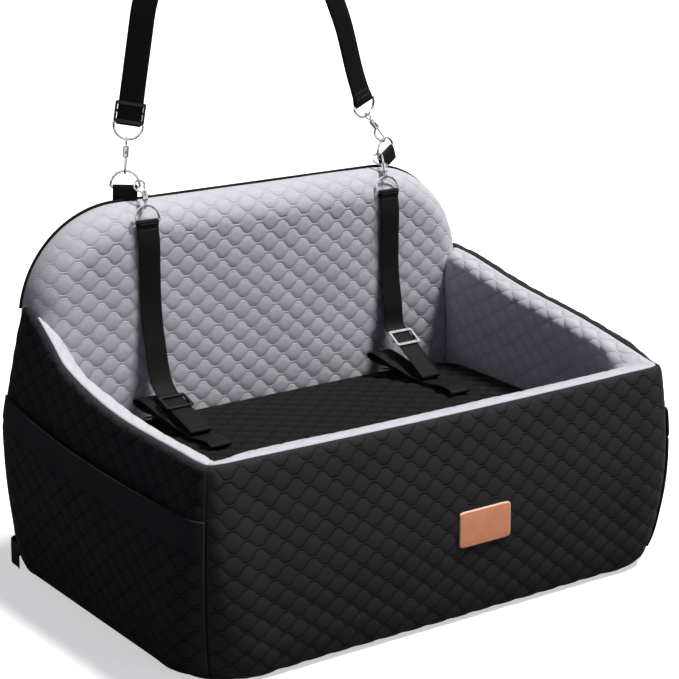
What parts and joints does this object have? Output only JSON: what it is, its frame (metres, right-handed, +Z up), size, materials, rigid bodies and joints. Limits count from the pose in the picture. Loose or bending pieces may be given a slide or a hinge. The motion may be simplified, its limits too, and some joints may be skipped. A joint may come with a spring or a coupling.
{
  "type": "dog car seat",
  "caption": "Padded dog car seat with a raised backrest, side pockets, a headrest strap and clip-on tethers; a booster well lined with quilted fabric.",
  "frame": {"origin": "middle of the underside of the base cover, on the surface the seat stands on", "axes": "+X across the seat to the right as seen from the front, +Y back towards the backrest, +Z up"},
  "size_m": [0.7472, 0.4895, 0.8085],
  "materials": {
    "quilted_cover": "black quilted polyester",
    "quilted_lining": "pale grey quilted plush",
    "webbing": "black woven webbing",
    "piping": "black piping cord",
    "foam": "upholstery foam",
    "board": "stiff base board",
    "leather": "bare tan leather",
    "chrome": "polished zinc alloy",
    "dark_metal": "dark nickel"
  },
  "bodies": {
    "seat": {"back_cover": "quilted_cover", "backrest_foam": "foam", "backrest_lining": "quilted_lining", "backrest_piping": "piping", "base_board": "board", "base_cover": "quilted_cover", "base_foam": "foam", "deck_cover": "quilted_cover", "front_cover": "quilted_cover", "front_foam": "foam", "front_lining": "quilted_lining", "leather_patch": "leather", "left_belt_loop": "webbing", "left_cover": "quilted_cover", "left_foam": "foam", "left_lining": "quilted_lining", "left_pocket": "quilted_cover", "left_ring_tab": "webbing", "left_strap_snap": "chrome", "left_tether_snap": "chrome", "left_tether_webbing": "webbing", "right_belt_loop": "webbing", "right_cover": "quilted_cover", "right_foam": "foam", "right_lining": "quilted_lining", "right_pocket": "quilted_cover", "right_ring_tab": "webbing", "right_strap_snap": "chrome", "right_tether_snap": "chrome", "right_tether_webbing": "webbing", "seat_cushion": "quilted_cover", "strap_webbing": "webbing"},
    "left_strap_bolt": {"left_strap_bolt": "chrome"},
    "left_strap_swivel": {"left_strap_swivel": "chrome"},
    "left_tether_bolt": {"left_tether_bolt": "chrome"},
    "left_tether_swivel": {"left_tether_swivel": "chrome"},
    "left_backrest_ring": {"left_backrest_ring": "chrome"},
    "left_strap_ring": {"left_strap_ring": "chrome"},
    "left_tether_ring": {"left_tether_ring": "chrome"},
    "left_tether_slider": {"left_tether_slider": "dark_metal"},
    "right_strap_bolt": {"right_strap_bolt": "chrome"},
    "right_strap_swivel": {"right_strap_swivel": "chrome"},
    "right_tether_bolt": {"right_tether_bolt": "chrome"},
    "right_tether_swivel": {"right_tether_swivel": "chrome"},
    "right_backrest_ring": {"right_backrest_ring": "chrome"},
    "right_strap_ring": {"right_strap_ring": "chrome"},
    "right_tether_ring": {"right_tether_ring": "chrome"},
    "right_tether_slider": {"right_tether_slider": "chrome"},
    "strap_slider": {"strap_slider": "dark_metal"}
  },
  "joints": [
    {"name": "left_strap_bolt_slide", "type": "slide", "parent": "seat", "child": "left_strap_bolt", "axis": [0.1226, 0.0937, 0.988], "range_m": [0, 0.0042], "stiffness_N_per_m": 250, "springref_m": -0.003},
    {"name": "left_strap_swivel_turn", "type": "hinge", "parent": "seat", "child": "left_strap_swivel", "pos_m": [-0.18537, 0.22352, 0.54823], "axis": [0.1226, 0.0937, 0.988], "range_deg": [-20, 20]},
    {"name": "left_tether_bolt_slide", "type": "slide", "parent": "seat", "child": "left_tether_bolt", "axis": [-0.3799, -0.7292, -0.5691], "range_m": [0, 0.0042], "stiffness_N_per_m": 250, "springref_m": -0.003},
    {"name": "left_tether_swivel_turn", "type": "hinge", "parent": "seat", "child": "left_tether_swivel", "pos_m": [-0.18202, 0.18269, 0.4689], "axis": [-0.3799, -0.7292, -0.5691], "range_deg": [-20, 20]},
    {"name": "left_backrest_ring_hinge", "type": "hinge", "parent": "seat", "child": "left_backrest_ring", "pos_m": [-0.1875, 0.2249, 0.4855], "axis": [0.8385, -0.5446, -0.0175], "range_deg": [-2, 2]},
    {"name": "left_strap_ring_hinge", "type": "hinge", "parent": "seat", "child": "left_strap_ring", "pos_m": [-0.18286, 0.22189, 0.56952], "axis": [-0.8305, 0.5393, 0.1392], "range_deg": [-1.5, 3]},
    {"name": "left_tether_ring_hinge", "type": "hinge", "parent": "seat", "child": "left_tether_ring", "pos_m": [-0.18202, 0.17933, 0.44766], "axis": [1, 0, 0], "range_deg": [-2, 0]},
    {"name": "left_tether_slider_slide", "type": "slide", "parent": "seat", "child": "left_tether_slider", "axis": [0, 0.9556, 0.2947], "range_m": [-0.04, 0.004]},
    {"name": "right_strap_bolt_slide", "type": "slide", "parent": "seat", "child": "right_strap_bolt", "axis": [-0.5102, 0.3625, 0.7799], "range_m": [0, 0.0042], "stiffness_N_per_m": 250, "springref_m": -0.003},
    {"name": "right_strap_swivel_turn", "type": "hinge", "parent": "seat", "child": "right_strap_swivel", "pos_m": [0.20503, 0.23145, 0.53962], "axis": [-0.5102, 0.3625, 0.7799], "range_deg": [-20, 20]},
    {"name": "right_tether_bolt_slide", "type": "slide", "parent": "seat", "child": "right_tether_bolt", "axis": [-0.3873, -0.7305, -0.5624], "range_m": [0, 0.0042], "stiffness_N_per_m": 250, "springref_m": -0.003},
    {"name": "right_tether_swivel_turn", "type": "hinge", "parent": "seat", "child": "right_tether_swivel", "pos_m": [0.20529, 0.18615, 0.46158], "axis": [-0.3873, -0.7305, -0.5624], "range_deg": [-20, 20]},
    {"name": "right_backrest_ring_hinge", "type": "hinge", "parent": "seat", "child": "right_backrest_ring", "pos_m": [0.234, 0.2249, 0.4855], "axis": [0.8569, 0.2951, 0.4226], "range_deg": [-3, 0.75]},
    {"name": "right_strap_ring_hinge", "type": "hinge", "parent": "seat", "child": "right_strap_ring", "pos_m": [0.19738, 0.23051, 0.55969], "axis": [-0.9266, -0.1138, -0.3584], "range_deg": [-0.75, 3]},
    {"name": "right_tether_ring_hinge", "type": "hinge", "parent": "seat", "child": "right_tether_ring", "pos_m": [0.20529, 0.1788, 0.44138], "axis": [1, 0, 0], "range_deg": [-1.5, 0]},
    {"name": "right_tether_slider_slide", "type": "slide", "parent": "seat", "child": "right_tether_slider", "axis": [0, 0.8609, 0.5088], "range_m": [-0.045, 0.005]},
    {"name": "strap_slider_slide", "type": "slide", "parent": "seat", "child": "strap_slider", "axis": [0.1167, -0.0758, 0.9903], "range_m": [0, 0.1]}
  ]
}
